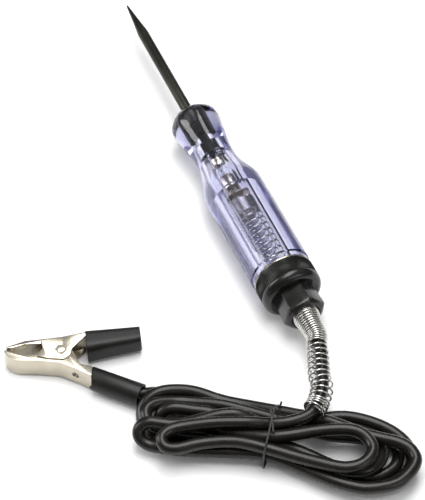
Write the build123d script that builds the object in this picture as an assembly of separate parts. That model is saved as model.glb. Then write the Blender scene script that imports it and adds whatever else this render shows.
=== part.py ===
from build123d import *
import math
import os

# Circuit test light, lying on its side on a table. Millimetres, +Z up.
# The tool's axis lies along Y, with the probe's point towards +Y.
# The origin is under the middle of the tool, on the table (the lead and its clip left out).
# Stations along the axis are measured forwards from the cap's datum plane, where its knurl
# ends and its rounded shoulder starts.

# ---- driving dimensions ----
DATUM_Y = -81.6  # the cap's datum plane
AXIS_Z = 13.2  # height of the tool's axis above the table
TIP = 177.6  # station of the probe's point
ROD_R = 2.38  # 3/16 inch probe rod
SHANK_R = 2.1  # the rod's end inside the handle
ROD_STEP = 105.6  # station where the full diameter starts
TAPER_LENGTH = 19.0
POINT_R = 0.45

BODY_R = 13.2  # octagonal handle, corner radius
KNOB_R = 11.0
KNOB_EDGE_R = 7.0  # rounding of the knob's front
KNOB_FRONT = 104.6
NECK_R = 8.65
OCTAGON_REAR = 10.3
COLLAR_R = 12.3  # plain round behind the octagon
COLLAR_REAR = 8.05
SPIGOT_R = 9.8  # threaded spigot inside the cap
SPIGOT_REAR = 1.7
MAIN_BORE_R = 6.3
MAIN_BORE_FRONT = 55.5
LAMP_BORE_R = 4.4
LAMP_BORE_FRONT = 75.6

CAP_R = 12.7  # 1 inch cap
CAP_FRONT = 7.4
CAP_BACK = -2.8
CAP_BORE_R = 10.1
CAP_BORE_BACK = 0.2
SHOULDER_R = 3.2
RING_R = 12.55
RING_FRONT = 7.95
GLAND_BACK = -14.4
GLAND_FRONT_R = 8.8  # hexagon corner radius where it leaves the cap
GLAND_FLARE = 3.5  # degrees, how much the hexagon widens backwards
GLAND_END_R = 9.2
GLAND_VERTEX = 102.0  # degrees, one corner of the hexagon, from +X towards +Z
GLAND_SPIGOT_R = 6.0
GLAND_BORE_R = 5.9
GLAND_SEAT = -5.0  # bottom of the gland's bore, where the spring sits

CORD_R = 2.45
RELIEF_MOUTH_R = 5.6  # strain relief spring at the gland
RELIEF_R = 4.65  # and along its open coils
RELIEF_NECK = -24.0  # where its cone has gone inside them
RELIEF_HOLE_R = 3.6

SPRING_R = 5.4  # contact spring
SPRING_HOLE_R = 4.6
SPRING_FRONT = 51.2
DISC_FRONT = 1.65

# ---- the clip: its own axes run from jaws to handles (u) and across (v), from the rivet ----
CLIP_X = -95.2
CLIP_STATION = 10.4
CLIP_TURN = -25.0  # degrees, u from +X
CLIP_LOW = 0.4
CLIP_HIGH = 10.9
SHEET = 0.7  # sheet steel
RIVET_R = 1.45
RIVET_HEAD_R = 1.9
SLEEVE_R = 4.6
SLEEVE_HOLE_R = 3.8


def place(x, station, z):
    """A point from its x, its station along the axis and its height."""
    return (x, DATUM_Y + station, z)


def turned(points):
    """Solid of revolution about the tool's axis, from (station, radius) corners."""
    outline = make_face(Polyline([(radius, station) for station, radius in points], close=True))
    solid = revolve(outline, Axis.Y, 360)
    return Pos(0, DATUM_Y, AXIS_Z) * solid


def rod(radius, back, front):
    """Plain cylinder on the tool's axis between two stations."""
    return turned([(back, 0), (back, radius), (front, radius), (front, 0)])


def keep(node, solid):
    """Write one sub-part."""
    export_step(solid, f"parts/{node}.step")


# ---- handle ----
def handle_outline():
    """Outline of the handle in the plane of two opposite corners."""
    neck_station = 79.6
    shoulder_station = 60.0
    shoulder_r = 12.69
    body_station = 57.6
    knob_station = KNOB_FRONT - KNOB_EDGE_R
    swell_station = 91.5
    swell_r = 10.2
    edge_mid = KNOB_EDGE_R * math.sin(math.radians(45))
    dome = ThreePointArc((0, 105.4), (2.3, 105.2), (KNOB_R - KNOB_EDGE_R, KNOB_FRONT))
    edge = ThreePointArc(
        dome @ 1,
        (KNOB_R - KNOB_EDGE_R + edge_mid, knob_station + edge_mid),
        (KNOB_R, knob_station),
    )
    swell = TangentArc(edge @ 1, (swell_r, swell_station), tangent=(0, -1))
    waist = TangentArc(swell @ 1, (NECK_R, neck_station), tangent=swell % 1)
    flare = TangentArc(waist @ 1, (shoulder_r, shoulder_station), tangent=(0, -1))
    shoulder = TangentArc(flare @ 1, (BODY_R, body_station), tangent=flare % 1)
    rear = Polyline([
        shoulder @ 1,
        (BODY_R, OCTAGON_REAR + 0.6),
        (BODY_R - 0.6, OCTAGON_REAR),
        (0, OCTAGON_REAR),
        dome @ 0,
    ])
    half = make_face([dome, edge, swell, waist, flare, shoulder, rear])
    return half + mirror(half, about=Plane.YZ)


def octagonal_grip():
    """Eight-sided handle: four flat-sided plates of the outline, turned by 45 degrees and intersected."""
    plate = extrude(handle_outline(), amount=20, both=True)
    plate = scale(plate, by=(math.cos(math.radians(22.5)), 1, 1))
    solid = None
    for turn in range(4):
        turned_plate = Rot(0, 22.5 + 45 * turn, 0) * plate
        solid = turned_plate if solid is None else solid & turned_plate
    return Pos(0, DATUM_Y, AXIS_Z) * solid


def handle_shell():
    solid = octagonal_grip()
    solid += rod(COLLAR_R, COLLAR_REAR, OCTAGON_REAR + 0.5)
    solid += rod(SPIGOT_R, SPIGOT_REAR, COLLAR_REAR + 0.5)
    cavity = rod(MAIN_BORE_R, SPIGOT_REAR - 1, MAIN_BORE_FRONT)
    cavity += rod(LAMP_BORE_R, MAIN_BORE_FRONT - 1, LAMP_BORE_FRONT)
    cavity += rod(1.8, LAMP_BORE_FRONT - 1, 79)
    cavity += rod(3.5, 78.2, 84.5)
    cavity += rod(SHANK_R, 84, 107)
    cavity += rod(4.1, 89, 102)
    return solid - cavity


def probe_rod():
    """Rod with a thinner shank that is pressed into the handle."""
    cone = TIP - TAPER_LENGTH
    return turned([
        (84.5, 0), (84.5, SHANK_R), (ROD_STEP, SHANK_R), (ROD_STEP, ROD_R), (cone, ROD_R),
        (TIP - 0.3, POINT_R), (TIP, 0.2), (TIP, 0),
    ])


def rod_collar():
    """Pressed collar that grips the rod inside the knob."""
    return turned([(89, SHANK_R), (89, 4.1), (102, 4.1), (102, SHANK_R)])


def rod_end_contact():
    """Rear end of the rod, upset to a button that touches the lamp."""
    return turned([(74.8, 0), (74.8, 1.8), (78.2, 1.8), (78.2, 3.5), (84.5, 3.5), (84.5, 0)])


# ---- lamp ----
def lamp_front_cap():
    return turned([
        (74.6, 0), (74.6, 1.2), (74.0, 2.4), (73.6, 3.3), (68.6, 3.3), (67.8, 2.7),
        (67.8, 2.35), (73.0, 2.35), (73.0, 0),
    ])


def lamp_glass():
    """Glass tube between the two lamp caps, with its ends inside them."""
    return turned([
        (72.9, 0), (72.9, 2.3), (66.6, 2.3), (64.2, 3.1), (61.6, 3.1), (53.4, 3.1), (53.4, 0),
        (54.2, 0), (54.2, 2.5), (64.0, 2.5), (66.3, 1.8), (72.2, 1.8), (72.2, 0),
    ])


def lamp_filament():
    """Two lead-in wires and the coil between them, as one bent wire."""
    solid = rod(0.12, 58.6, 65.4)
    for side in (-1, 1):
        wire = Pos(side * 0.9, DATUM_Y + 60.5, AXIS_Z) * Rot(90, 0, 0) * Cylinder(0.15, 9.0)
        solid += wire
    solid += Pos(0, DATUM_Y + 60.0, AXIS_Z) * Rot(0, 90, 0) * Cylinder(0.3, 1.8)
    return solid


def lamp_rear_cap():
    """Rear cap, with the flange that the contact spring presses on."""
    return turned([
        (61.3, 3.15), (61.9, 3.3), (61.3, 4.0), (51.8, 4.0), (51.8, 5.2), (51.25, 5.2),
        (51.25, 0), (53.3, 0), (53.3, 3.15),
    ])


# ---- cap and contacts ----
def rear_cap():
    back_r = CAP_R - SHOULDER_R
    outline = [
        Line((CAP_BORE_R, CAP_FRONT), (CAP_R, CAP_FRONT)),
        Line((CAP_R, CAP_FRONT), (CAP_R, CAP_BACK + SHOULDER_R)),
        RadiusArc((CAP_R, CAP_BACK + SHOULDER_R), (back_r, CAP_BACK), SHOULDER_R),
        Polyline([
            (back_r, CAP_BACK), (GLAND_SPIGOT_R, CAP_BACK), (GLAND_SPIGOT_R, CAP_BORE_BACK),
            (CAP_BORE_R, CAP_BORE_BACK), (CAP_BORE_R, CAP_FRONT),
        ]),
    ]
    solid = revolve(make_face(outline), Axis.Y, 360)
    return Pos(0, DATUM_Y, AXIS_Z) * solid


def rim_ring():
    return turned([(CAP_FRONT, CAP_BORE_R), (CAP_FRONT, RING_R), (RING_FRONT, RING_R), (RING_FRONT, CAP_BORE_R)])


def cable_gland():
    """Six-sided nose of the cap, flared backwards, with a rounded end and the spring's bore."""
    length = CAP_BACK - GLAND_BACK
    plane = Plane(origin=place(0, CAP_BACK, AXIS_Z), x_dir=(1, 0, 0), z_dir=(0, -1, 0))
    hexagon = plane * Rot(0, 0, GLAND_VERTEX) * RegularPolygon(GLAND_FRONT_R, 6)
    nose = extrude(hexagon, amount=length, taper=-GLAND_FLARE)
    end_round = 2.2
    barrel = [
        Polyline([(0, GLAND_BACK), (0, CAP_BACK), (12, CAP_BACK), (12, GLAND_BACK + 6),
                  (GLAND_END_R, GLAND_BACK + end_round)]),
        RadiusArc((GLAND_END_R, GLAND_BACK + end_round), (GLAND_END_R - end_round, GLAND_BACK), end_round),
        Line((GLAND_END_R - end_round, GLAND_BACK), (0, GLAND_BACK)),
    ]
    solid = nose & Pos(0, DATUM_Y, AXIS_Z) * revolve(make_face(barrel), Axis.Y, 360)
    solid += rod(GLAND_SPIGOT_R, CAP_BACK - 0.5, CAP_BORE_BACK)
    solid -= rod(GLAND_BORE_R, GLAND_BACK - 1, GLAND_SEAT)
    return solid - rod(CORD_R + 0.1, GLAND_SEAT - 1, CAP_BORE_BACK + 1)


def insulating_washer():
    return turned([(0.25, 1.6), (0.25, 9.6), (1.05, 9.6), (1.05, 1.6)])


def contact_disc():
    return turned([(1.05, 0), (1.05, 5.9), (DISC_FRONT, 5.9), (DISC_FRONT, 2.0), (2.05, 1.6), (2.05, 0)])


def contact_spring():
    """Space taken by the coils of the contact spring."""
    return turned([
        (DISC_FRONT, SPRING_HOLE_R), (DISC_FRONT, SPRING_R), (SPRING_FRONT, SPRING_R), (SPRING_FRONT, SPRING_HOLE_R),
    ])


def lead_terminal():
    return rod(1.5, -1.4, 1.05)


# ---- lead ----
LEAD_ROUTE = [
    place(0, -1.4, AXIS_Z),
    place(0, -27, AXIS_Z),
    place(-5.8, -42, 13.4),
    place(-12.6, -55.4, 13.8),
    place(-22.0, -57.3, 14.0),
]
TAIL_ROUTE = [
    place(-64.2, -20.2, 5.4),
    place(-71.6, -20.0, 5.4),
    place(-79.4, -12.2, 5.4),
]


def corner_radii(points):
    """Largest even arc at each corner: 0.45 of the shorter run over the tangent of half the turn."""
    spots = [Vector(point) for point in points]
    radii = []
    for before, corner, after in zip(spots, spots[1:], spots[2:]):
        turn = (corner - before).get_angle(after - corner)
        run = min((corner - before).length, (after - corner).length)
        radii.append(0.45 * run / math.tan(math.radians(turn / 2)))
    return radii


def cord_tube(name, points, radius=CORD_R):
    path = FilletPolyline(points, radius=corner_radii(points))
    section = Plane(origin=path @ 0, z_dir=path % 0) * Circle(radius)
    tube = sweep(section, path)
    share = tube.volume / (math.pi * radius ** 2 * path.length)
    corners = [round(value, 1) for value in corner_radii(points)]
    print(f"{name}: length {path.length:.1f} mm, radii {corners}, volume share {share:.4f}")
    return tube


def strain_relief_spring():
    """Space taken by the coils: a closed cone out of the gland, then open coils along the lead."""
    end = Vector(LEAD_ROUTE[3]) - (Vector(LEAD_ROUTE[3]) - Vector(LEAD_ROUTE[2])).normalized()
    start = place(0, GLAND_SEAT - 0.2, AXIS_Z)
    route = [start, LEAD_ROUTE[1], LEAD_ROUTE[2], tuple(end)]
    cone = turned([
        (GLAND_SEAT - 0.2, 0), (GLAND_SEAT - 0.2, RELIEF_MOUTH_R), (GLAND_BACK, RELIEF_MOUTH_R),
        (RELIEF_NECK, RELIEF_R - 0.3), (RELIEF_NECK, 0),
    ])
    coils = cord_tube("strain relief outside", route, RELIEF_R)
    solid = cone + coils
    return solid - cord_tube("strain relief inside", route, RELIEF_HOLE_R)


def blob(points, height):
    """Solid with a smooth closed outline through the points (x, station), from the table up."""
    outline = Spline([(x, DATUM_Y + station) for x, station in points], periodic=True)
    return extrude(make_face(outline), amount=height)


def cord_hank():
    """Outer shape of the folded lead: a low layer of all the loops and a ridge of the upper passes."""
    loops = [
        (-84.2, -38.0), (-80.9, -32.0), (-78.8, -27.8), (-75.6, -23.2), (-65.5, -16.9), (-56.0, -20.0),
        (-46.0, -27.0), (-29.0, -40.5), (-12.0, -51.0), (0.5, -55.2), (10.5, -62.8), (16.0, -75.0),
        (16.0, -87.5), (9.5, -97.0), (-2.5, -100.2), (-13.0, -98.4), (-24.5, -91.2), (-36.0, -75.2),
        (-45.0, -66.6), (-58.0, -59.2), (-72.0, -52.4), (-80.5, -46.2),
    ]
    ridge = [
        (-77.6, -46.0), (-73.8, -40.2), (-65.0, -38.6), (-53.0, -41.6), (-41.0, -48.0), (-31.0, -53.2),
        (-18.0, -54.8), (-6.0, -64.5), (0.4, -71.0), (1.2, -79.5), (-3.0, -86.0), (-10.0, -88.8),
        (-19.5, -86.0), (-31.0, -73.2), (-40.0, -64.2), (-51.0, -57.6), (-68.0, -51.8),
    ]
    return blob(loops, 9.9) + blob(ridge, 16.2)


def twist_tie():
    """Thin wire tie round the waist of the hank."""
    plane = Plane(origin=place(-34.0, -57.3, 8.2), x_dir=(0.62, 0.785, 0), z_dir=(0.785, -0.62, 0))
    ring = plane * (RectangleRounded(25.4, 16.2, 6.6) - RectangleRounded(23.8, 14.6, 5.8))
    return extrude(ring, amount=0.5, both=True)


# ---- clip ----
def clip_frame(solid):
    return Pos(*place(CLIP_X, CLIP_STATION, 0)) * Rot(0, 0, CLIP_TURN) * solid


def plate(points, low, high):
    """Flat stamping between two heights."""
    return Pos(0, 0, low) * extrude(make_face(Polyline(points, close=True)), amount=high - low)


def wall(points, low, high):
    """Bent strip of sheet that stands on edge."""
    strip = trace(Polyline(points), SHEET)
    return Pos(0, 0, low) * extrude(strip, amount=high - low)


def clip_cord_arm():
    """Narrower channel-shaped arm with the lead, on the rivet between the other arm's plates."""
    low = CLIP_LOW + SHEET + 0.05
    high = CLIP_HIGH - SHEET - 0.05
    back = [(-22.0, -0.9), (-20.0, -3.9), (-16.7, -5.2), (-8.9, -5.0), (0.2, -5.7), (7.1, -8.7), (13.0, -11.6)]
    flange = [
        (-21.6, -0.8), (-19.6, -1.0), (-15.2, -3.0), (-9.5, -1.9), (-4.2, 2.6), (0, 4.2), (3.6, 2.2), (4.4, 0.4),
        (8.3, -6.4), (13.0, -7.4), (13.0, -11.4), (7.1, -8.6), (0.2, -5.6), (-8.9, -4.9), (-16.7, -5.1), (-20.0, -3.7),
    ]
    solid = wall(back, low, high)
    solid += plate(flange, low, low + SHEET)
    solid += plate(flange, high - SHEET, high)
    solid += plate([(12.6, -11.9), (12.6, -9.2), (24.0, -13.2), (24.0, -15.2)], 3.9, 3.9 + SHEET)
    web_hole = Pos(6.6, -8.4, 5.65) * Rot(0, 0, -26) * Rot(90, 0, 0) * Cylinder(1.5, 4)
    rivet_hole = Pos(0, 0, 5) * Cylinder(RIVET_R, 20)
    return clip_frame(solid - web_hole - rivet_hole)


def clip_free_arm():
    """Wider arm whose plates lie outside the other arm's at the rivet."""
    back = [(-21.4, -0.1), (-14.2, 3.2), (-8.0, 4.2), (0.6, 5.9), (9.0, 8.4), (26.0, 9.8)]
    cover = [
        (-8.9, -3.7), (-7.0, 0.3), (-8.0, 4.1), (0.6, 5.8), (9.2, 8.4), (9.4, 7.0), (4.4, 0.6), (3.8, -2.6),
        (1.6, -4.6), (-4.6, -4.5),
    ]
    lip = [(-21.2, 0.1), (-19.2, -0.1), (-14.2, 2.0), (-8.0, 2.4), (-8.0, 4.1), (-14.2, 3.1)]
    solid = wall(back, CLIP_LOW, CLIP_HIGH)
    for low in (CLIP_LOW, CLIP_HIGH - SHEET):
        solid += plate(cover, low, low + SHEET)
        solid += plate(lip, low, low + SHEET)
    rivet_hole = Pos(0, 0, 5) * Cylinder(RIVET_R + 0.07, 20)
    return clip_frame(solid - rivet_hole)


def clip_rivet():
    shank = Pos(0, 0, (CLIP_LOW + CLIP_HIGH) / 2) * Cylinder(RIVET_R, CLIP_HIGH - CLIP_LOW)
    heads = Pos(0, 0, CLIP_LOW / 2) * Cylinder(RIVET_HEAD_R, CLIP_LOW)
    heads += Pos(0, 0, CLIP_HIGH + 0.2) * Cylinder(RIVET_HEAD_R, 0.4)
    return clip_frame(shank + heads)


def clip_spring():
    """Space taken by the coils of the torsion spring round the rivet."""
    coils = Cylinder(3.0, 6.0) - Cylinder(2.0, 8.0)
    return clip_frame(Pos(0, 0, 5.65) * coils)


def cord_handle_sleeve():
    """Round sleeve over the handle that holds the lead."""
    start = (12.2, -9.6)
    end = (32.8, -17.6)
    length = math.dist(start, end)
    plane = Plane(origin=(*start, 5.4), z_dir=(end[0] - start[0], end[1] - start[1], 0))
    tube = extrude(plane * Circle(SLEEVE_R), amount=length)
    tube -= extrude(plane * Circle(SLEEVE_HOLE_R), amount=length)
    cutter = Pos(8.4, -8.5, 5.65) * Box(9.2, 12, 12)
    return clip_frame(tube - cutter)


def wire_crimp():
    """Crimped barrel that joins the lead's strands to the arm's tail."""
    plane = Plane(origin=(18.5, -12.1, 6.9), z_dir=(20.6, -8.0, 0))
    return clip_frame(extrude(plane * Circle(1.6), amount=4.5))


def free_handle_sleeve():
    """Flattened sleeve over the free handle, narrower towards its end."""
    direction = (21.5, 3.4, 0)
    front = Plane(origin=(9.8, 5.6, 5.65), x_dir=(0, 0, 1), z_dir=direction)
    rear = Plane(origin=(31.3, 9.0, 5.1), x_dir=(0, 0, 1), z_dir=direction)
    outer = loft([front * Ellipse(5.45, 4.3), rear * Ellipse(4.4, 3.6)])
    inner = loft([front * Ellipse(5.27, 3.5), rear * Ellipse(3.6, 2.8)])
    return clip_frame(outer - inner)


def main():
    os.makedirs("parts", exist_ok=True)
    keep("handle_shell", handle_shell())
    keep("probe_rod", probe_rod())
    keep("rod_collar", rod_collar())
    keep("rod_end_contact", rod_end_contact())
    keep("lamp_front_cap", lamp_front_cap())
    keep("lamp_glass", lamp_glass())
    keep("lamp_filament", lamp_filament())
    keep("lamp_rear_cap", lamp_rear_cap())
    keep("rear_cap", rear_cap())
    keep("rim_ring", rim_ring())
    keep("cable_gland", cable_gland())
    keep("insulating_washer", insulating_washer())
    keep("contact_disc", contact_disc())
    keep("contact_spring", contact_spring())
    keep("lead_terminal", lead_terminal())
    keep("strain_relief_spring", strain_relief_spring())
    keep("lead_cord", cord_tube("lead_cord", LEAD_ROUTE))
    keep("clip_cord_tail", cord_tube("clip_cord_tail", TAIL_ROUTE))
    keep("cord_hank", cord_hank())
    keep("twist_tie", twist_tie())
    keep("clip_cord_arm", clip_cord_arm())
    keep("clip_free_arm", clip_free_arm())
    keep("clip_rivet", clip_rivet())
    keep("clip_spring", clip_spring())
    keep("cord_handle_sleeve", cord_handle_sleeve())
    keep("wire_crimp", wire_crimp())
    keep("free_handle_sleeve", free_handle_sleeve())


main()
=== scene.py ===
import math

import bmesh
import bpy
from mathutils import Matrix, Vector


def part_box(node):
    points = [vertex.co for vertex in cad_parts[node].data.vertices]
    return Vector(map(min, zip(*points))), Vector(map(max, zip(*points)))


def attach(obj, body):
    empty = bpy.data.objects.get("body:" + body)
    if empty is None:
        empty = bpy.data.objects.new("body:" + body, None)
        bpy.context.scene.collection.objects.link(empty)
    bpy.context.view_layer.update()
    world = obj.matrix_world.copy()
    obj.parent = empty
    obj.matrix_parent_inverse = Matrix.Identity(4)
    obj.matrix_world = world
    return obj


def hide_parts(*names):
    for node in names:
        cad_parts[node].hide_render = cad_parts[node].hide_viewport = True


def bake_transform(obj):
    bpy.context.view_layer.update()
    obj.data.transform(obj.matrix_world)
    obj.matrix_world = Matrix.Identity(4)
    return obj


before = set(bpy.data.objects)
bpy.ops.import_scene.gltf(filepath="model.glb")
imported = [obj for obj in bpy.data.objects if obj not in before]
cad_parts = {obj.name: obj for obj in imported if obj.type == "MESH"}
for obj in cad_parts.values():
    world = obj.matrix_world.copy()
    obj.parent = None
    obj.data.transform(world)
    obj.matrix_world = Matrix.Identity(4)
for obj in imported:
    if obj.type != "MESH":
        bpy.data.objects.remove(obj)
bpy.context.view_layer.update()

MM = 0.001
DATUM_Y = -81.6  # the cap's datum plane, from which stations run forwards
AXIS_Z = 13.2  # height of the tool's axis


def place(x, station, z):
    """A point in metres from its x, its station along the axis and its height."""
    return Vector((x * MM, (DATUM_Y + station) * MM, z * MM))


# ---------------------------------------------------------------- shader maths
class Socket:
    """One shader output that can be added to, scaled and stepped."""

    def __init__(self, tree, output):
        self.tree = tree
        self.output = output

    def maths(self, operation, *others):
        new = add_node(self.tree, "ShaderNodeMath", {"operation": operation})
        for slot, value in zip(new.inputs, others):
            feed(self.tree, slot, value)
        return Socket(self.tree, new.outputs[0])

    def __add__(self, other):
        return self.maths("ADD", self, other)

    def __radd__(self, other):
        return self.maths("ADD", other, self)

    def __mul__(self, other):
        return self.maths("MULTIPLY", self, other)

    def __rmul__(self, other):
        return self.maths("MULTIPLY", other, self)

    def step(self, low, high):
        """0 below low, 1 above high, smooth between."""
        new = add_node(self.tree, "ShaderNodeMapRange", {"interpolation_type": "SMOOTHSTEP"}, Value=self,
                       From_Min=low, From_Max=high)
        return Socket(self.tree, new.outputs["Result"])


def feed(tree, slot, value):
    """Link a socket, or set a plain value."""
    if isinstance(value, Socket):
        tree.links.new(value.output, slot)
    elif isinstance(value, (tuple, list)) and len(value) == 3 and slot.type == "RGBA":
        slot.default_value = (*value, 1)
    else:
        slot.default_value = value


def add_node(tree, kind, settings=None, **values):
    """A node with its settings made first, then the values or links of its sockets."""
    new = tree.nodes.new(kind)
    for key, value in (settings or {}).items():
        setattr(new, key, value)
    for key, value in values.items():
        feed(tree, new.inputs[key.replace("_", " ")], value)
    return new


class Look:
    """One material with its principled node and the object's own coordinates."""

    def __init__(self, name, base, rough, metal=0.0, **constants):
        self.material = bpy.data.materials.new(name)
        self.material.use_nodes = True
        self.tree = self.material.node_tree
        self.shader = self.tree.nodes["Principled BSDF"]
        self.set("Base Color", base)
        self.set("Roughness", rough)
        self.set("Metallic", metal)
        for key, value in constants.items():
            self.set(key.replace("_", " "), value)
        coordinates = add_node(self.tree, "ShaderNodeTexCoord")
        self.point = Socket(self.tree, coordinates.outputs["Object"])

    def set(self, key, value):
        feed(self.tree, self.shader.inputs[key], value)

    def stretched(self, x, y, z):
        """The object's coordinates, each multiplied by its own factor."""
        new = add_node(self.tree, "ShaderNodeVectorMath", {"operation": "MULTIPLY"})
        feed(self.tree, new.inputs[0], self.point)
        feed(self.tree, new.inputs[1], (x, y, z))
        return Socket(self.tree, new.outputs[0])

    def noise(self, scale, detail=3.0, roughness=0.55, vector=None):
        new = add_node(self.tree, "ShaderNodeTexNoise", None, Vector=vector or self.point, Scale=scale,
                       Detail=detail, Roughness=roughness)
        return Socket(self.tree, new.outputs["Fac"])

    def mix(self, factor, first, second):
        """A blend of two colours; the node's colour sockets have numbers because its names repeat."""
        new = add_node(self.tree, "ShaderNodeMix", {"data_type": "RGBA"})
        for number, value in ((0, factor), (6, first), (7, second)):
            feed(self.tree, new.inputs[number], value)
        return Socket(self.tree, new.outputs[2])

    def bump(self, height, distance, strength=1.0):
        new = add_node(self.tree, "ShaderNodeBump", None, Height=height, Distance=distance,
                       Strength=strength)
        self.tree.links.new(new.outputs["Normal"], self.shader.inputs["Normal"])


def clear_plastic():
    """Clear plastic that tints with its thickness, with a faint haze in patches."""
    look = Look("clear lavender acetate", (0.95, 0.95, 0.985), 0.03)
    look.set("Transmission Weight", 1.0)
    look.set("IOR", 1.49)
    depth = add_node(look.tree, "ShaderNodeVolumeAbsorption", None, Color=(0.50, 0.50, 0.74), Density=66.0)
    look.tree.links.new(depth.outputs[0], look.tree.nodes["Material Output"].inputs["Volume"])
    clouds = look.noise(160, 4)
    look.set("Roughness", clouds.step(0.55, 0.9) * 0.035 + 0.012)
    look.bump(look.noise(70, 2), 0.00006, 0.35)
    return look.material


def lamp_glass():
    look = Look("lamp glass", (0.97, 0.985, 0.985), 0.0)
    look.set("Transmission Weight", 1.0)
    look.set("IOR", 1.47)
    look.set("Roughness", look.noise(300, 2) * 0.02)
    return look.material


def black_steel():
    look = Look("black oxide steel", (0.05, 0.05, 0.045), 0.34, 0.75)
    grain = look.noise(900, 4, vector=look.stretched(1, 0.06, 1))
    patches = look.noise(90, 5)
    look.set("Base Color", look.mix(patches.step(0.35, 0.75), (0.022, 0.022, 0.018), (0.042, 0.041, 0.033)))
    look.set("Roughness", grain * 0.16 + patches * 0.08 + 0.22)
    look.bump(grain, 0.00003, 0.5)
    return look.material


def bright_metal(name, tint, rough):
    """Plated or bare metal with fine scratches round the tool and slow smudges."""
    look = Look(name, tint, rough, 1.0)
    scratches = look.noise(700, 5, 0.7, look.stretched(1, 3.2, 1))
    smudges = look.noise(140, 3)
    look.set("Base Color", look.mix(smudges.step(0.3, 0.8), tint, tuple(0.86 * part for part in tint)))
    look.set("Roughness", scratches * 0.12 + smudges * 0.08 + (rough - 0.08))
    look.bump(scratches, 0.00002, 0.45)
    return look.material


def plain(name, base, light, rough, grain_scale, grain_depth, **constants):
    """Moulded or drawn surface with a fine grain and slow patches."""
    look = Look(name, base, rough, **constants)
    grain = look.noise(grain_scale, 4)
    patches = look.noise(grain_scale * 0.12, 3)
    look.set("Base Color", look.mix(patches.step(0.3, 0.75), base, light))
    look.set("Roughness", grain * 0.12 + patches * 0.14 + (rough - 0.12))
    look.bump(grain, grain_depth, 0.5)
    return look.material


MATERIALS = {
    "clear_plastic": clear_plastic(),
    "glass": lamp_glass(),
    "black_steel": black_steel(),
    "nickel": bright_metal("bright nickel plate", (0.56, 0.515, 0.42), 0.22),
    "bright_wire": bright_metal("bright spring wire", (0.66, 0.65, 0.62), 0.2),
    "brass": bright_metal("plain brass", (0.72, 0.55, 0.27), 0.28),
    "copper": bright_metal("tinned copper", (0.62, 0.40, 0.26), 0.3),
    "tungsten": bright_metal("bare filament wire", (0.36, 0.35, 0.34), 0.35),
    "black_plastic": plain(
        "black nylon", (0.005, 0.005, 0.0045), (0.010, 0.0095, 0.008), rough=0.24,
        grain_scale=2600, grain_depth=0.00002, Specular_IOR_Level=0.42,
    ),
    "fibre": plain(
        "red fibre board", (0.20, 0.07, 0.035), (0.26, 0.10, 0.05), rough=0.75,
        grain_scale=1800, grain_depth=0.00005,
    ),
    "cord_pvc": plain(
        "black cord PVC", (0.007, 0.0062, 0.005), (0.012, 0.0105, 0.0085), rough=0.27,
        grain_scale=1500, grain_depth=0.00003, Specular_IOR_Level=0.32,
    ),
    "tie_pvc": plain(
        "black tie PVC", (0.02, 0.02, 0.02), (0.03, 0.03, 0.03), rough=0.5,
        grain_scale=3000, grain_depth=0.00002,
    ),
    "sleeve_vinyl": plain(
        "black dipped vinyl", (0.006, 0.0055, 0.005), (0.011, 0.010, 0.009), rough=0.40,
        grain_scale=900, grain_depth=0.00005, Specular_IOR_Level=0.3,
    ),
}


# ---------------------------------------------------------------- meshes
def mesh_object(name, corners, faces, slot, smooth=True, sharp=35):
    """Mesh object in one finish; edges sharper than the angle in degrees stay crisp."""
    mesh = bpy.data.meshes.new(name)
    mesh.from_pydata([tuple(corner) for corner in corners], [], faces)
    mesh.validate()
    mesh.update()
    thing = bpy.data.objects.new(name, mesh)
    bpy.context.scene.collection.objects.link(thing)
    thing.data.materials.append(MATERIALS[slot])
    if smooth:
        mesh.shade_smooth()
        mesh.set_sharp_from_angle(angle=math.radians(sharp))
    return thing


def finish_piece(thing, body, slot, *nodes):
    """Attach a piece to its body and let it stand for its CAD nodes."""
    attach(thing, body)
    if nodes:
        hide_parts(*nodes)
    return thing


def polygon_radius(angle, sides, corner_angle, softness):
    """Radius of a regular polygon whose corners reach 1 before they are softened."""
    step = 2 * math.pi / sides
    off = (angle - corner_angle) % step
    off = min(off, step - off)
    flat = math.cos(step / 2) / math.cos(step / 2 - off)
    rounding = softness * math.exp(-((off / (0.22 * step)) ** 2))
    return flat * (1 - rounding)


def rings(name, profile, slot, sides=96, shape=None, closed=True, sharp=35):
    """Solid of stacked rings about the tool's axis, from (station, radius, shape share) rows."""
    corners = []
    faces = []
    for row in profile:
        station, radius = row[0], row[1]
        share = row[2] if len(row) > 2 else 0.0
        for index in range(sides):
            angle = 2 * math.pi * index / sides
            factor = 1.0
            if shape and share > 0:
                factor = 1 - share + share * shape(angle)
            reach = radius * factor
            corners.append(place(reach * math.cos(angle), station, AXIS_Z + reach * math.sin(angle)))
    count = len(profile)
    for row in range(count if closed else count - 1):
        here = row * sides
        above = (row + 1) % count * sides
        for index in range(sides):
            beside = (index + 1) % sides
            faces.append((here + index, here + beside, above + beside, above + index))
    if not closed:
        faces.append(tuple(reversed(range(sides))))
        faces.append(tuple(range((count - 1) * sides, count * sides)))
    thing = mesh_object(name, corners, faces, slot, sharp=sharp)
    outward(thing)
    return thing


def outward(thing):
    """Turn every face outwards."""
    work = bmesh.new()
    work.from_mesh(thing.data)
    bmesh.ops.remove_doubles(work, verts=work.verts, dist=1e-7)
    bmesh.ops.recalc_face_normals(work, faces=work.faces)
    work.to_mesh(thing.data)
    work.free()


def arc_rows(centre_station, centre_radius, size, start, end, steps, share=0.0):
    """Rows of a rounded edge; angles in degrees, 0 outwards and 90 forwards."""
    rows = []
    for index in range(steps + 1):
        angle = math.radians(start + (end - start) * index / steps)
        rows.append((centre_station + size * math.sin(angle), centre_radius + size * math.cos(angle), share))
    return rows


def join(name, parts):
    """Join several meshes of one body into one piece."""
    bpy.ops.object.select_all(action="DESELECT")
    for part in parts:
        part.select_set(True)
    bpy.context.view_layer.objects.active = parts[0]
    bpy.ops.object.join()
    parts[0].name = name
    return parts[0]


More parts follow.
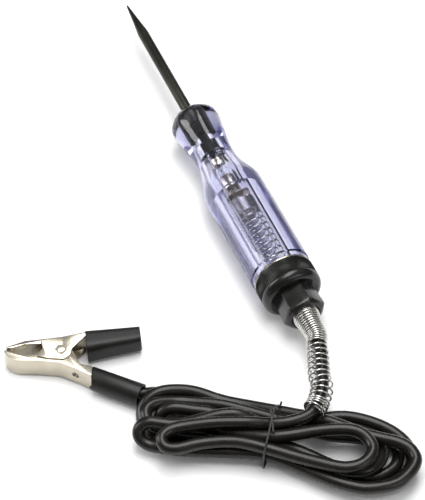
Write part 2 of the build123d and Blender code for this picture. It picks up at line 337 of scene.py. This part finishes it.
# ---------------------------------------------------------------- geometry nodes
def new_tree(name, inputs):
    """An empty tree with a geometry output and one input for each (name, kind, value) row."""
    tree = bpy.data.node_groups.new(name, "GeometryNodeTree")
    for title, kind, value in inputs:
        item = tree.interface.new_socket(title, in_out="INPUT", socket_type=f"NodeSocket{kind}")
        if value is not None:
            item.default_value = value
    tree.interface.new_socket("Geometry", in_out="OUTPUT", socket_type="NodeSocketGeometry")
    return tree


def wire_tree():
    """A round wire along a curve: profile size and sides are inputs."""
    tree = new_tree("round wire", [
        ("Geometry", "Geometry", None), ("Wire radius", "Float", 0.0005), ("Wire sides", "Int", 10),
        ("Material", "Material", None),
    ])
    source = add_node(tree, "NodeGroupInput")
    circle = add_node(tree, "GeometryNodeCurvePrimitiveCircle")
    sweep = add_node(tree, "GeometryNodeCurveToMesh", None, Fill_Caps=True)
    smooth = add_node(tree, "GeometryNodeSetShadeSmooth")
    realize = add_node(tree, "GeometryNodeRealizeInstances")
    paint = add_node(tree, "GeometryNodeSetMaterial")
    target = add_node(tree, "NodeGroupOutput")
    links = tree.links
    links.new(source.outputs["Wire sides"], circle.inputs["Resolution"])
    links.new(source.outputs["Wire radius"], circle.inputs["Radius"])
    links.new(source.outputs["Geometry"], sweep.inputs["Curve"])
    links.new(circle.outputs[0], sweep.inputs["Profile Curve"])
    links.new(sweep.outputs[0], smooth.inputs[0])
    links.new(smooth.outputs[0], realize.inputs[0])
    links.new(realize.outputs[0], paint.inputs["Geometry"])
    links.new(source.outputs["Material"], paint.inputs["Material"])
    links.new(paint.outputs[0], target.inputs[0])
    return tree


def ring_tree():
    """Copies of a small mesh in a ring about the Y axis through the origin."""
    tree = new_tree("ring of copies", [
        ("Geometry", "Geometry", None), ("Copies", "Int", 12), ("Material", "Material", None),
    ])
    source = add_node(tree, "NodeGroupInput")
    points = add_node(tree, "GeometryNodeMeshLine", None, Offset=(0, 0, 0))
    index = add_node(tree, "GeometryNodeInputIndex")
    share = add_node(tree, "ShaderNodeMath", {"operation": "DIVIDE"})
    turn = add_node(tree, "ShaderNodeMath", {"operation": "MULTIPLY"})
    feed(tree, turn.inputs[1], 2 * math.pi)
    angles = add_node(tree, "ShaderNodeCombineXYZ")
    copies = add_node(tree, "GeometryNodeInstanceOnPoints")
    realize = add_node(tree, "GeometryNodeRealizeInstances")
    paint = add_node(tree, "GeometryNodeSetMaterial")
    target = add_node(tree, "NodeGroupOutput")
    links = tree.links
    links.new(source.outputs["Copies"], points.inputs["Count"])
    links.new(index.outputs[0], share.inputs[0])
    links.new(source.outputs["Copies"], share.inputs[1])
    links.new(share.outputs[0], turn.inputs[0])
    links.new(turn.outputs[0], angles.inputs["Y"])
    links.new(points.outputs[0], copies.inputs["Points"])
    links.new(source.outputs["Geometry"], copies.inputs["Instance"])
    links.new(angles.outputs[0], copies.inputs["Rotation"])
    links.new(copies.outputs[0], realize.inputs[0])
    links.new(realize.outputs[0], paint.inputs["Geometry"])
    links.new(source.outputs["Material"], paint.inputs["Material"])
    links.new(paint.outputs[0], target.inputs[0])
    return tree


WIRE = wire_tree()
RING = ring_tree()


def bake(thing, name, tree, slot, **values):
    """Run a node tree on an object and keep the plain mesh that it gives."""
    modifier = thing.modifiers.new("build", "NODES")
    modifier.node_group = tree
    values["Material"] = MATERIALS[slot]
    for item in tree.interface.items_tree:
        key = item.name.replace(" ", "_")
        if item.in_out == "INPUT" and key in values:
            modifier[item.identifier] = values[key]
    thing.update_tag()
    bpy.context.view_layer.update()
    graph = bpy.context.evaluated_depsgraph_get()
    mesh = bpy.data.meshes.new_from_object(thing.evaluated_get(graph), depsgraph=graph)
    mesh.name = name
    old = thing.data
    bpy.data.objects.remove(thing)
    if isinstance(old, bpy.types.Mesh):
        bpy.data.meshes.remove(old)
    else:
        bpy.data.curves.remove(old)
    result = bpy.data.objects.new(name, mesh)
    bpy.context.scene.collection.objects.link(result)
    return result


def wire(name, points, radius, slot, sides=10):
    """Round wire through points in metres."""
    curve = bpy.data.curves.new(name, "CURVE")
    curve.dimensions = "3D"
    spline = curve.splines.new("POLY")
    spline.points.add(len(points) - 1)
    for target, point in zip(spline.points, points):
        target.co = (*point, 1)
    thing = bpy.data.objects.new(name, curve)
    bpy.context.scene.collection.objects.link(thing)
    return bake(thing, name, WIRE, slot, Wire_radius=radius, Wire_sides=sides)


# ---------------------------------------------------------------- camera, light, floor
def studio():
    """Camera, a sky that brightens upwards, three softboxes and a white floor."""
    scene = bpy.context.scene
    lens = bpy.data.cameras.new("camera")
    lens.lens = 172.8
    lens.sensor_width = 36
    lens.clip_start = 0.01
    camera = bpy.data.objects.new("camera", lens)
    camera.location = (-0.26705, -0.62711, 0.7614)
    camera.rotation_euler = (math.radians(40), 0, math.radians(-23.1))
    scene.collection.objects.link(camera)
    scene.camera = camera

    world = bpy.data.worlds.new("studio")
    scene.world = world
    world.use_nodes = True
    tree = world.node_tree
    background = tree.nodes["Background"]
    directions = add_node(tree, "ShaderNodeTexCoord")
    upwards = Socket(tree, directions.outputs["Generated"])
    parts = add_node(tree, "ShaderNodeSeparateXYZ", None, Vector=upwards)
    height = Socket(tree, parts.outputs["Z"])
    feed(tree, background.inputs["Color"], (1, 1, 1))
    feed(tree, background.inputs["Strength"], height.step(0.1, 1.0) * 0.42 + 0.05)
    scene.view_settings.view_transform = "Standard"

    def lamp(name, spot, aim, size, power):
        data = bpy.data.lights.new(name, "AREA")
        data.shape = "RECTANGLE"
        data.size, data.size_y = size
        data.energy = power
        light = bpy.data.objects.new(name, data)
        light.location = spot
        direction = Vector(aim) - Vector(spot)
        light.rotation_euler = direction.to_track_quat("-Z", "Y").to_euler()
        scene.collection.objects.link(light)

    lamp("softbox above", (0.05, 0.05, 0.9), (-0.02, -0.05, 0), (0.5, 0.9), 9.0)
    lamp("softbox left", (-0.75, 0.35, 0.45), (-0.02, -0.05, 0), (0.35, 0.6), 4.2)
    lamp("softbox front", (0.35, -0.9, 0.5), (0, -0.08, 0), (0.6, 0.3), 1.6)

    far = 3.0
    floor = mesh_object("floor", [(-far, -far, 0), (far, -far, 0), (far, far, 0), (-far, far, 0)],
                        [(0, 1, 2, 3)], "sleeve_vinyl", smooth=False)
    paper = Look("white paper", (0.92, 0.92, 0.92), 0.9)
    paper.set("Roughness", paper.noise(40, 2) * 0.1 + 0.85)
    floor.data.materials[0] = paper.material


studio()


# ---------------------------------------------------------------- cord
CORD_DIAMETER = 4.9 * MM
CORD_BEVEL_STEPS = 7
# (x, station, z) in millimetres; the lead from the gland, then one row group per pass of the hank
CORD_ROUTE = [
    (0, -14.4, 13.2), (0, -24, 13.2), (-1, -30, 13.3), (-6.5, -44, 13.5), (-9.5, -50.5, 13.6),
    (-16.5, -58.5, 13.6),
    # first pass, over the top to the left
    (-22.5, -59.5, 13.1), (-32.5, -57.5, 12.6), (-43.5, -53.5, 15.1), (-55, -48.5, 14.7),
    (-65.5, -45.2, 13.7), (-71.3, -44.2, 13.5), (-75.5, -45.8, 12.8), (-75.9, -50.0, 11.7),
    (-71.7, -52.3, 11.0),
    # second, to the right
    (-62.5, -53, 11.1), (-50.5, -57.5, 11.9), (-43.5, -63, 12.3), (-35.5, -69.5, 11.4),
    (-29, -75.5, 11.4), (-19, -84.5, 12), (-14.5, -87, 12.4), (-9.5, -87.5, 12.8), (-5, -85.5, 13.1),
    (-2.5, -82, 13.2), (-3.5, -75.5, 13.6),
    # third
    (-7.5, -71, 13.5), (-17.5, -67, 13.1), (-30, -64.5, 13), (-39.5, -60.5, 11.8), (-48, -53, 9.8),
    (-55, -42, 5.2), (-60, -39.4, 3.5), (-66, -37.0, 2.7), (-70.4, -35.4, 3.6), (-71, -32.4, 6.2),
    (-68, -31.4, 8.8), (-63.5, -33, 9.4),
    # fourth
    (-57.5, -36.5, 8.7), (-50.5, -40.5, 8.7), (-44, -51, 7.2), (-33, -63.5, 7.4), (-27, -71, 8.5),
    (-18.5, -81.5, 7.8), (-13, -86, 7.5), (-7.5, -88, 7.9), (-2, -86, 6.6), (3, -81, 4.7),
    (1.5, -74, 4.9),
    # fifth
    (-3, -70.5, 4.3), (-16, -65, 6.1), (-25, -56.5, 9.2), (-30, -52.5, 8.4), (-37.5, -45.5, 8.1),
    (-46.5, -37.5, 8), (-55.5, -32, 7.1), (-61, -29.0, 7), (-69.5, -26.8, 8.6), (-75.4, -28.8, 8.9),
    (-76.2, -34.2, 7.8), (-72.6, -38.4, 6.6),
    # sixth
    (-68.5, -41, 5.4), (-62.5, -44, 3.5), (-44, -52, 2.5), (-32, -59, 2.5), (-22.5, -71.5, 2.5),
    (-12, -84.5, 2.5), (-6, -88.5, 2.5), (0, -89, 2.5), (5.5, -87, 2.5), (8.5, -82.5, 2.5),
    (8.5, -77.5, 2.5),
    # seventh
    (2.5, -69, 2.5), (-4, -63.5, 2.7), (-18.5, -59.5, 2.5), (-32, -57.5, 6.1), (-42, -48.5, 12.8),
    (-49.5, -45, 13.1), (-62, -42.5, 10.8), (-68, -41.2, 10.7), (-73, -38.2, 10.8), (-76.8, -36.0, 11.2),
    (-80.8, -36.0, 9.4), (-81.9, -39.0, 6.8), (-79.4, -42.6, 5.2),
    # eighth
    (-75, -46, 5.8), (-66, -51.5, 5.9), (-50, -59, 6.1), (-41, -63.5, 6), (-35.5, -68.5, 5.9),
    (-29, -76.5, 6.1), (-26, -81, 6.8), (-21.5, -87, 7.5), (-16, -92.3, 7.9), (-11, -95.7, 8),
    (-1, -98, 8), (4.5, -96.5, 8.3), (9.5, -93.5, 8.6), (12, -90, 9), (10.5, -83, 9.6),
    # ninth
    (-2, -74, 9.9), (-11.5, -62.5, 9.7), (-20, -54.5, 7.9), (-29.5, -46.5, 6.6), (-37, -40, 5.3),
    (-45.5, -33.5, 5), (-54, -26, 7), (-64.5, -22.4, 8.2), (-71, -22.4, 7.2), (-75.8, -25.6, 4.4),
    (-77, -33, 2.5),
    # tenth
    (-74.5, -40, 2.5), (-70.5, -45, 2.5), (-51.5, -54.5, 2.5), (-42, -58.5, 2.5), (-35.5, -63, 2.5),
    (-25.5, -75.5, 2.5), (-20.5, -82, 2.5), (-14, -89, 2.5), (-7, -93, 2.5), (1, -94, 2.5), (9, -91, 2.5),
    (13.2, -86, 2.5), (13.6, -79, 2.5),
    # eleventh, along the floor to the clip
    (11.5, -72.5, 2.5), (7, -66, 2.5), (0.5, -60, 2.5), (-6, -56.5, 2.5), (-22, -53, 2.5),
    (-30, -49.5, 2.5), (-39.5, -43.5, 2.5), (-48.5, -36, 2.5), (-56, -28, 2.5), (-62, -22, 2.5),
    (-66.5, -19, 3.7), (-71.5, -19, 5), (-75.5, -16.5, 5.4), (-79.5, -12, 5.4),
]


def cord_curve(name, points, radius):
    """Smooth spline with the route's points as its control points."""
    curve = bpy.data.curves.new(name, "CURVE")
    curve.dimensions = "3D"
    curve.resolution_u = 10
    spline = curve.splines.new("NURBS")
    spline.points.add(len(points) - 1)
    for target, point in zip(spline.points, points):
        target.co = (*point, 1)
    spline.order_u = 3
    spline.use_endpoint_u = True
    curve.bevel_depth = radius
    curve.bevel_resolution = CORD_BEVEL_STEPS
    curve.use_fill_caps = True
    thing = bpy.data.objects.new(name, curve)
    bpy.context.scene.collection.objects.link(thing)
    return thing


def centreline(curve_object):
    """Points along a curve's own line."""
    depth = curve_object.data.bevel_depth
    curve_object.data.bevel_depth = 0
    graph = bpy.context.evaluated_depsgraph_get()
    mesh = bpy.data.meshes.new_from_object(curve_object.evaluated_get(graph), depsgraph=graph)
    points = [corner.co.copy() for corner in mesh.vertices]
    bpy.data.meshes.remove(mesh)
    curve_object.data.bevel_depth = depth
    return points


cord = cord_curve("lead", [place(*point) for point in CORD_ROUTE], CORD_DIAMETER / 2)
cord.data.materials.append(MATERIALS["cord_pvc"])
LEAD_LINE = centreline(cord)
finish_piece(cord, "cap_and_lead", "cord_pvc", "lead_cord", "cord_hank", "clip_cord_tail")


# ---------------------------------------------------------------- springs
def along(line, distance):
    """Point and direction at a distance along a line of points."""
    gone = 0.0
    for a, b in zip(line, line[1:]):
        length = (b - a).length
        if gone + length >= distance:
            return a.lerp(b, (distance - gone) / length), (b - a).normalized()
        gone += length
    return line[-1].copy(), (line[-1] - line[-2]).normalized()


STEPS_PER_COIL = 28


def coil_points(line, turns, per_turn=STEPS_PER_COIL):
    """Helix about a line; turns is a list of (distance along the line, radius) in mm, one per turn."""
    points = []
    up = Vector((0, 0, 1))
    for (start, near), (end, far) in zip(turns, turns[1:]):
        for index in range(per_turn):
            share = index / per_turn
            centre, direction = along(line, (start + (end - start) * share) * MM)
            side = direction.cross(up).normalized()
            top = side.cross(direction)
            radius = (near + (far - near) * share) * MM
            angle = 2 * math.pi * share
            points.append(centre + radius * (math.cos(angle) * top + math.sin(angle) * side))
    return points


def ramp(value, low, high):
    """0 at low, 1 at high, smooth between."""
    share = min(1.0, max(0.0, (value - low) / (high - low)))
    return share * share * (3 - 2 * share)


def leaning(point):
    """The coil's centre beside the lead: they touch on one side over the open coils."""
    station = point.y / MM - DATUM_Y
    share = ramp(station, -24.0, -31.0) * (1 - ramp(station, -43.0, -50.0))
    return point + Vector((-1.15 * share * MM, 0.5 * share * MM, 0))


def relief_spring():
    """Closed coils in a cone out of the gland, then open coils along the lead, the last ones loose."""
    line = [place(0, -5.4, AXIS_Z)] + [leaning(point) for point in LEAD_LINE]
    wire_size = 0.78
    gland_radius, cone_drop, open_radius, loose_radius = 5.15, 1.3, 3.9, 4.2
    gland_coils, cone_coils, open_coils, loose_coils = 12, 13, 11, 3
    gland_pitch, cone_pitch, open_pitch, loose_pitch = wire_size * 1.02, 1.08, 2.66, 0.95
    turns = []
    at = 0.0
    for _ in range(gland_coils):
        turns.append((at, gland_radius))
        at += gland_pitch
    for index in range(cone_coils):
        share = index / cone_coils
        turns.append((at, gland_radius - cone_drop * math.sin(share * math.pi / 2)))
        at += cone_pitch
    for index in range(open_coils):
        turns.append((at, open_radius + 0.3 * min(1.0, index / 2)))
        at += open_pitch
    for _ in range(loose_coils):
        turns.append((at, loose_radius))
        at += loose_pitch
    turns += [(at + 0.7, 4.35), (at + 1.6, 4.4)]
    return wire("strain_relief_coils", coil_points(line, turns), wire_size / 2 * MM, "bright_wire")


relief = relief_spring()
finish_piece(relief, "cap_and_lead", "bright_wire", "strain_relief_spring")


def contact_coils():
    """Spring that presses the lamp forwards: a few dead coils at each end and open coils between."""
    line = [place(0, 1.65, AXIS_Z), place(0, 52.0, AXIS_Z)]
    wire_radius = 0.38
    coil_radius, front_radius = 4.95, 4.9
    back_pitch, open_pitch, front_pitch = 0.95, 3.4, 0.86
    back_coils, front_coils = 2, 9
    open_end, last = 39.5, 49.2
    turns = []
    at = 0.55
    for _ in range(back_coils):
        turns.append((at, coil_radius))
        at += back_pitch
    while at < open_end:
        turns.append((at, coil_radius))
        at += open_pitch
    for _ in range(front_coils):
        turns.append((at, front_radius))
        at += front_pitch
    turns = [turn for turn in turns if turn[0] < last]
    return wire("contact_spring_coils", coil_points(line, turns, 32), wire_radius * MM, "bright_wire")


spring = contact_coils()
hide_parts("contact_spring")
place(0, 2.0, AXIS_Z)
place(0, 50.6, AXIS_Z)
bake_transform(spring)


# ---------------------------------------------------------------- handle
def octagon(angle):
    """Eight crowned flats, between a flat-sided octagon and its outer circle."""
    return 0.62 + 0.38 * polygon_radius(angle, 8, 0.0, 0.022)


def handle():
    """Clear eight-sided handle with its bores, its collar and the spigot that the cap screws on."""
    outer = [
        (1.7, 9.3), (2.1, 9.8), (8.0, 9.8), (8.05, 9.9), (8.05, 12.1), (8.25, 12.35), (10.0, 12.3),
        (10.3, 12.5, 0.6), (10.9, 13.15, 1.0), (11.6, 13.2, 1.0), (57.0, 13.2, 1.0), (58.6, 13.05, 1.0),
        (60.0, 12.69, 1.0), (62.2, 11.95, 1.0), (64.6, 11.0, 1.0), (67.4, 10.0, 1.0), (70.6, 9.2, 1.0),
        (74.0, 8.78, 1.0), (77.0, 8.63, 1.0), (79.6, 8.65, 1.0), (82.6, 8.88, 1.0), (85.6, 9.3, 1.0),
        (88.6, 9.8, 1.0), (91.5, 10.2, 1.0), (94.5, 10.7, 1.0), (97.0, 10.97, 1.0),
    ]
    outer += arc_rows(97.6, 4.0, 7.0, 2, 84, 10, 1.0)
    outer += [(105.0, 3.2, 0.7), (105.25, 2.6, 0.3), (105.25, 2.14)]
    inner = [
        (84.5, 2.14), (84.4, 3.5), (78.3, 3.5), (78.2, 1.85), (76.4, 1.85), (75.6, 4.4), (56.6, 4.4),
        (55.5, 6.3), (2.4, 6.3), (1.7, 6.7),
    ]
    long_gap, pieces = 12, 6
    dense = []
    for first, second in zip(outer, outer[1:]):
        dense.append(first)
        gap = second[0] - first[0]
        if gap > long_gap:
            dense += [(first[0] + gap * step / pieces, first[1], 1.0) for step in range(1, pieces)]
    dense.append(outer[-1])
    return rings("handle", dense + inner, "clear_plastic", sides=128, shape=octagon, sharp=28)


grip = handle()
finish_piece(grip, "handle", "clear_plastic", "handle_shell")

probe = rings("probe", [
    (84.6, 0.02), (84.6, 2.08), (105.3, 2.08), (105.6, 2.32), (105.8, 2.38), (120, 2.38), (140, 2.38),
    (157.6, 2.38), (158.4, 2.37), (159.4, 2.28), (166, 1.55), (172, 0.92), (176.0, 0.52), (177.1, 0.36),
    (177.5, 0.18), (177.6, 0.02),
], "black_steel", sides=64, closed=False, sharp=30)
finish_piece(probe, "handle", "black_steel", "probe_rod")

collar = rings("collar_band", [
    (89.0, 2.12), (89.0, 3.4), (89.3, 3.65), (94.6, 3.65), (94.9, 3.3), (95.6, 3.3), (95.9, 3.65),
    (101.7, 3.65), (102.0, 3.4), (102.0, 2.12),
], "black_steel", sides=64)
finish_piece(collar, "handle", "black_steel", "rod_collar")

button = rings("rod_end_button", [
    (74.8, 0.02), (74.8, 1.3), (75.1, 1.75), (78.2, 1.8), (78.25, 3.2), (78.5, 3.47), (84.2, 3.47),
    (84.5, 3.2), (84.5, 0.02),
], "black_steel", sides=64, closed=False)
finish_piece(button, "handle", "black_steel", "rod_end_contact")

# ---------------------------------------------------------------- lamp
front_cap = rings("lamp_nose", [
    (74.6, 0.02), (74.6, 1.0), (74.35, 1.6), (74.0, 2.4), (73.8, 3.0), (73.5, 3.28), (71.6, 3.3),
    (71.4, 3.15), (71.1, 3.15), (70.9, 3.3), (68.7, 3.3), (68.2, 3.1), (67.8, 2.7), (67.8, 2.36),
    (73.0, 2.36), (73.0, 0.02),
], "nickel", sides=64, closed=False)
finish_piece(front_cap, "lamp", "nickel", "lamp_front_cap")

bulb = rings("lamp_glass_tube", [
    (72.9, 0.02), (72.9, 2.1), (72.7, 2.3), (66.8, 2.3), (66.0, 2.5), (65.0, 2.95), (64.2, 3.1),
    (53.6, 3.1), (53.4, 2.9), (53.4, 0.02), (54.2, 0.02), (54.3, 2.5), (63.9, 2.5), (64.9, 2.3),
    (66.2, 1.85), (72.1, 1.8), (72.2, 0.02),
], "glass", sides=64)
finish_piece(bulb, "lamp", "glass", "lamp_glass")

rear = rings("lamp_tail", [
    (51.3, 0.02), (51.3, 4.9), (51.5, 5.18), (51.7, 5.18), (51.85, 4.1), (52.6, 4.0), (56.6, 4.0),
    (56.8, 3.85), (57.1, 3.85), (57.3, 4.0), (61.0, 4.0), (61.6, 3.75), (61.9, 3.35), (61.5, 3.14),
    (53.35, 3.14), (53.35, 0.02),
], "nickel", sides=64, closed=False)
finish_piece(rear, "lamp", "nickel", "lamp_rear_cap")


def filament():
    """Two lead-in wires with the coiled filament between them."""
    lead_in = [place(-0.9, 56.2, AXIS_Z), place(-0.9, 64.0, AXIS_Z), place(-0.7, 64.9, AXIS_Z)]
    coil = []
    steps, turns, radius, width = 90, 9, 0.25, 1.4
    for index in range(steps):
        share = index / (steps - 1)
        angle = share * turns * 2 * math.pi
        x = -width / 2 + width * share
        coil.append(place(x, 64.9 + radius * math.cos(angle), AXIS_Z + radius * math.sin(angle)))
    out = [place(0.7, 64.9, AXIS_Z), place(0.9, 64.0, AXIS_Z), place(0.9, 56.2, AXIS_Z)]
    return wire("filament", lead_in + coil + out, 0.07 * MM, "tungsten", 6)


finish_piece(filament(), "lamp", "tungsten", "lamp_filament")


# ---------------------------------------------------------------- cap
def cap():
    """Black screw cap: a core with a rounded shoulder, and straight ribs round its rim."""
    rows = [(7.4, 10.1), (7.4, 12.1), (7.2, 12.35), (0.9, 12.35), (0.55, 12.5), (0.2, 12.66)]
    rows += arc_rows(-0.2, 9.6, 3.1, 0, -78, 8)
    rows += [(-2.8, 9.0), (-2.8, 6.1), (0.2, 6.1), (0.2, 10.1)]
    core = rings("cap_core", rows, "black_plastic", sides=144)
    rib_count, rib_width, root, lead_in = 84, 0.5, 12.2, 0.35
    low, high = 0.75, 7.3
    flank = rib_width * 0.3
    section = [(-rib_width / 2, root), (rib_width / 2, root), (flank, 12.58), (0, 12.69), (-flank, 12.58)]
    sides = len(section)
    corners = []
    for station, shrink in ((low, 0.5), (low + lead_in, 1.0), (high - lead_in, 1.0), (high, 0.5)):
        for x, radius in section:
            reach = root + (radius - root) * shrink
            corners.append((x * MM, (DATUM_Y + station) * MM, reach * MM))
    faces = []
    for here in range(0, 3 * sides, sides):
        for index in range(sides):
            beside = (index + 1) % sides
            faces.append((here + index, here + beside, here + sides + beside, here + sides + index))
    faces += [tuple(reversed(range(sides))), tuple(range(3 * sides, 4 * sides))]
    rib = mesh_object("cap_rib", corners, faces, "black_plastic")
    ribs = bake(rib, "cap_ribs", RING, "black_plastic", Copies=rib_count)
    ribs.data.transform(Matrix.Translation((0, 0, AXIS_Z * MM)))
    outward(ribs)
    return join("cap", [core, ribs])


finish_piece(cap(), "cap_and_lead", "black_plastic", "rear_cap")

rim = rings("rim_band", [
    (7.4, 10.2), (7.4, 12.3), (7.5, 12.48), (7.75, 12.54), (7.92, 12.42), (7.95, 12.2), (7.95, 10.2),
], "nickel", sides=144)
finish_piece(rim, "cap_and_lead", "nickel", "rim_ring")


def gland():
    """Six-sided nose with softened edges, a slight flare and a rounded end round the spring's hole."""

    flare, corner_at, round_from, round_steps = math.radians(3.5), math.radians(78), -12.0, 9

    def hexagon(angle):
        return polygon_radius(angle, 6, corner_at, 0.035)

    def width(station):
        return 8.8 + (-2.8 - station) * math.tan(flare)

    rows = [(-2.6, 6.0), (-2.6, width(-2.6), 1.0)]
    for station in (-3.4, -5.0, -7.0, -9.0, -10.5, -11.6):
        rows.append((station, width(station), 1.0))
    edge = width(round_from)
    for index in range(1, round_steps):
        angle = math.radians(index * 90 / round_steps)
        station = round_from - 2.4 * math.sin(angle)
        rows.append((station, edge - 2.6 * (1 - math.cos(angle)), 1.0 - 0.05 * index))
    rows += [(-14.4, 6.5, 0.3), (-14.2, 6.0), (-13.6, 5.75), (-5.0, 5.75), (-5.0, 2.6), (-2.6, 2.6)]
    return rings("gland_nose", rows, "black_plastic", sides=144, shape=hexagon, sharp=50)


finish_piece(gland(), "cap_and_lead", "black_plastic", "cable_gland")

washer = rings("fibre_washer", [(0.25, 1.65), (0.25, 9.5), (1.05, 9.5), (1.05, 1.65)], "fibre", sides=72)
finish_piece(washer, "cap_and_lead", "fibre", "insulating_washer")

disc = rings("brass_contact", [
    (1.06, 0.02), (1.06, 5.75), (1.3, 5.9), (1.6, 5.8), (1.65, 5.5), (1.65, 2.1), (1.9, 1.8), (2.05, 1.4),
    (2.05, 0.02),
], "brass", sides=72, closed=False)
finish_piece(disc, "cap_and_lead", "brass", "contact_disc")
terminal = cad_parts["lead_terminal"].data
terminal.materials.clear()
terminal.materials.append(MATERIALS["brass"])


# ---------------------------------------------------------------- tie
def tie():
    """Wire tie round the waist, with a short second strand crossing over its top."""
    wire_radius = 0.42
    origin = place(-34.0, -57.3, 0)
    across = Vector((0.62, 0.785, 0))
    lengthwise = Vector((0.785, -0.62, 0))

    def spot(u, z, slip=0.0):
        return origin + across * (u * MM) + lengthwise * (slip * MM) + Vector((0, 0, z * MM))

    main = [
        (12.6, 11.4, 0.6), (12.2, 9.4, 0.3), (11.2, 10.6, 0.0), (8.6, 14.2, -0.2), (4.6, 17.2, -0.3),
        (0.2, 18.2, 0.0), (-4.4, 18.0, 0.4), (-8.8, 17.0, 0.6), (-12.4, 14.8, 0.5), (-13.8, 10.6, 0.3),
        (-13.9, 5.4, 0.1), (-13.0, 1.6, 0.0), (-9.8, 0.5, 0.0), (0, 0.45, 0), (9.8, 0.5, 0.2),
        (12.6, 2.2, 0.3), (13.0, 6.2, 0.3),
    ]
    second = [(3.8, 17.6, -1.4), (1.2, 18.0, -0.8), (-1.6, 18.1, 0.5), (-4.2, 17.9, 1.4), (-6.0, 17.2, 1.9)]
    pieces = []
    for number, route in enumerate((main, second)):
        curve = cord_curve("tie_route", [spot(u, z, slip) for u, z, slip in route], 0)
        points = centreline(curve)
        bpy.data.objects.remove(curve)
        pieces.append(wire(f"tie_{number}", points, wire_radius * MM, "tie_pvc"))
    return join("wire_tie", pieces)


tie_wire = tie()
finish_piece(tie_wire, "cap_and_lead", "tie_pvc", "twist_tie")


# ---------------------------------------------------------------- clip
# the clip's own coordinates: from the rivet, first along the handles, then across
TO_CLIP = Matrix.Rotation(math.radians(25), 4, "Z") @ Matrix.Translation(-place(-95.2, 10.4, 0))
BEVEL_STEPS = 3
BEVEL_FROM = 35  # degrees between faces


def softened(node, name, slot, width, body):
    """Copy of a CAD solid with its edges rounded over."""
    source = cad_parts[node]
    thing = bpy.data.objects.new(name, source.data.copy())
    bpy.context.scene.collection.objects.link(thing)
    work = bmesh.new()
    work.from_mesh(thing.data)
    bmesh.ops.remove_doubles(work, verts=work.verts, dist=2e-6)
    bmesh.ops.dissolve_limit(work, angle_limit=math.radians(1.0), verts=work.verts, edges=work.edges)
    work.to_mesh(thing.data)
    work.free()
    thing.data.materials.clear()
    thing.data.materials.append(MATERIALS[slot])
    modifier = thing.modifiers.new("edges", "BEVEL")
    modifier.width = width * MM
    modifier.segments = BEVEL_STEPS
    modifier.limit_method = "ANGLE"
    modifier.angle_limit = math.radians(BEVEL_FROM)
    graph = bpy.context.evaluated_depsgraph_get()
    mesh = bpy.data.meshes.new_from_object(thing.evaluated_get(graph), depsgraph=graph)
    thing.modifiers.clear()
    thing.data = mesh
    mesh.shade_smooth()
    mesh.set_sharp_from_angle(angle=math.radians(40))
    return finish_piece(thing, body, slot, node)


cord_arm = softened("clip_cord_arm", "lead_jaw", "nickel", 0.16, "cap_and_lead")
free_arm = softened("clip_free_arm", "free_jaw", "nickel", 0.16, "clip_jaw")
rivet = softened("clip_rivet", "rivet", "nickel", 0.14, "cap_and_lead")
cord_sleeve = softened("cord_handle_sleeve", "sleeve_on_lead_handle", "sleeve_vinyl", 0.2, "cap_and_lead")
free_sleeve = softened("free_handle_sleeve", "sleeve_on_free_handle", "sleeve_vinyl", 0.2, "clip_jaw")


def flatten_free_sleeve(thing):
    """Square up the sleeve's section over the arm, widen its mouth and lift its far end a little."""
    from_clip = TO_CLIP.inverted()
    mouth = Vector((9.8, 5.6, 5.65))
    tip = Vector((31.3, 9.0, 5.1))
    axis = tip - mouth
    side = Vector((-axis.y, axis.x, 0)).normalized()
    for corner in thing.data.vertices:
        point = (TO_CLIP @ corner.co) / MM
        share = (point - mouth).dot(axis) / axis.length_squared
        centre = mouth + axis * share
        offset = point - centre
        across, up = offset.dot(side), offset.z
        wide, tall = across / (4.3 - 0.7 * share), up / (5.45 - 1.05 * share)
        size = math.hypot(wide, tall)
        if size > 1e-6:
            swell = ((wide / size) ** 4 + (tall / size) ** 4) ** -0.25
            moved = centre + side * (across * swell * (1.2 - 0.15 * share) + 1.5 * share)
            moved.z += up * swell * 0.995 + 0.5 * share
            corner.co = from_clip @ (moved * MM)


def narrow_free_handle(thing):
    """Narrow the arm's end where the sleeve hides it."""
    hidden_from, middle, moved_middle, narrower = 20 * MM, 5.65 * MM, 5.2 * MM, 0.6
    for corner in thing.data.vertices:
        if (TO_CLIP @ corner.co).x > hidden_from:
            corner.co.z = moved_middle + (corner.co.z - middle) * narrower


flatten_free_sleeve(free_sleeve)
narrow_free_handle(free_arm)
crimp = softened("wire_crimp", "crimp", "copper", 0.12, "cap_and_lead")


def torsion_spring():
    """Coils round the rivet, between the arms."""
    low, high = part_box("clip_spring")
    centre = (low + high) / 2
    turns, coil_radius, wire_radius, inset = 6, 2.5 * MM, 0.42 * MM, 0.5 * MM
    steps = turns * STEPS_PER_COIL
    points = []
    for index in range(steps + 1):
        share = index / steps
        angle = 2 * math.pi * turns * share
        height = low.z + inset + (high.z - low.z - 2 * inset) * share
        across, along_y = coil_radius * math.cos(angle), coil_radius * math.sin(angle)
        points.append(Vector((centre.x + across, centre.y + along_y, height)))
    return wire("torsion_spring", points, wire_radius, "bright_wire")


torsion = torsion_spring()
finish_piece(torsion, "cap_and_lead", "bright_wire", "clip_spring")

place(0, -14.4, AXIS_Z)
